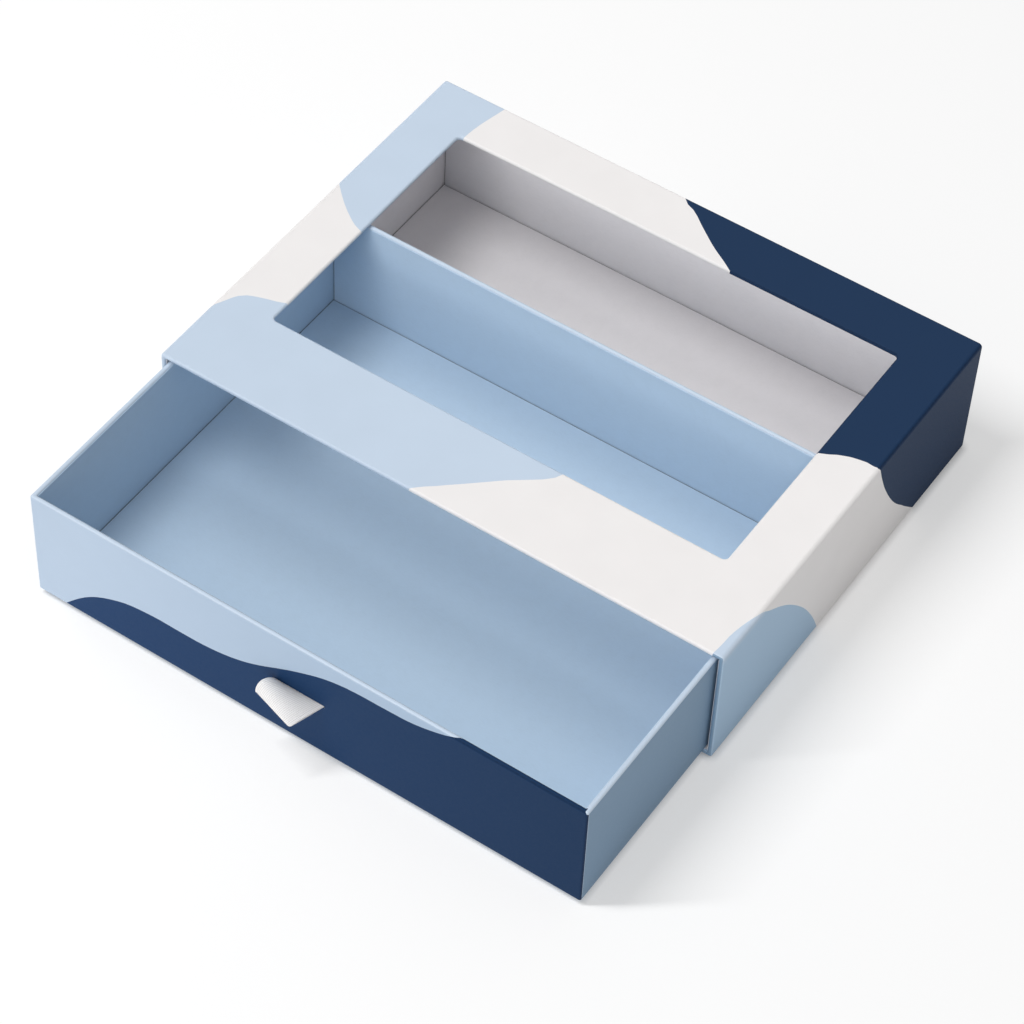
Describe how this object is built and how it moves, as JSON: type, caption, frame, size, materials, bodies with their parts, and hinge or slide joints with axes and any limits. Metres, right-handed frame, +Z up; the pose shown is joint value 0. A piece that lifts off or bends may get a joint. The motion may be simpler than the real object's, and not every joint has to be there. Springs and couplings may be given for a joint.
{
  "type": "sliding drawer gift box",
  "caption": "Rigid wrapped-board gift box: a lined drawer with a ribbon pull slides out of a sleeve that has a rectangular window in its top.",
  "frame": {"origin": "centre of the sleeve's underside", "axes": "+Z up; +Y from the open mouth to the closed back of the sleeve; +X to the right, seen from the mouth"},
  "size_m": [0.3, 0.3407, 0.07],
  "materials": {
    "greyboard": "matt grey board with short fibres",
    "stay_tape": "plain brown kraft paper",
    "sleeve_print": "matt laminated paper printed in pale blue, white and navy fields",
    "drawer_print": "matt laminated paper in pale blue with a navy wave on the front",
    "sleeve_lining": "matt uncoated white paper",
    "drawer_lining": "matt uncoated blue paper",
    "ribbon": "white woven ribbon with fine lengthwise ribs"
  },
  "bodies": {
    "sleeve": {"sleeve_top_board": "greyboard", "sleeve_bottom_board": "greyboard", "sleeve_left_board": "greyboard", "sleeve_right_board": "greyboard", "sleeve_back_board": "greyboard", "sleeve_corner_tapes": "stay_tape", "sleeve_wrap": "sleeve_print", "sleeve_base_sheet": "sleeve_print", "sleeve_lining_floor": "sleeve_lining", "sleeve_lining_left": "sleeve_lining", "sleeve_lining_right": "sleeve_lining", "sleeve_lining_back": "sleeve_lining", "sleeve_lining_ceiling": "sleeve_lining"},
    "drawer": {"drawer_floor_board": "greyboard", "drawer_front_board": "greyboard", "drawer_back_board": "greyboard", "drawer_left_board": "greyboard", "drawer_right_board": "greyboard", "drawer_corner_tapes": "stay_tape", "drawer_wrap": "drawer_print", "drawer_base_sheet": "drawer_print", "drawer_lining_floor": "drawer_lining", "drawer_lining_front": "drawer_lining", "drawer_lining_back": "drawer_lining", "drawer_lining_left": "drawer_lining", "drawer_lining_right": "drawer_lining", "ribbon_pull": "ribbon", "ribbon_patch": "stay_tape"}
  },
  "joints": [
    {"name": "drawer_slide", "type": "slide", "parent": "sleeve", "child": "drawer", "axis": [0, -1, 0], "range_m": [-0.096, 0.13]}
  ]
}
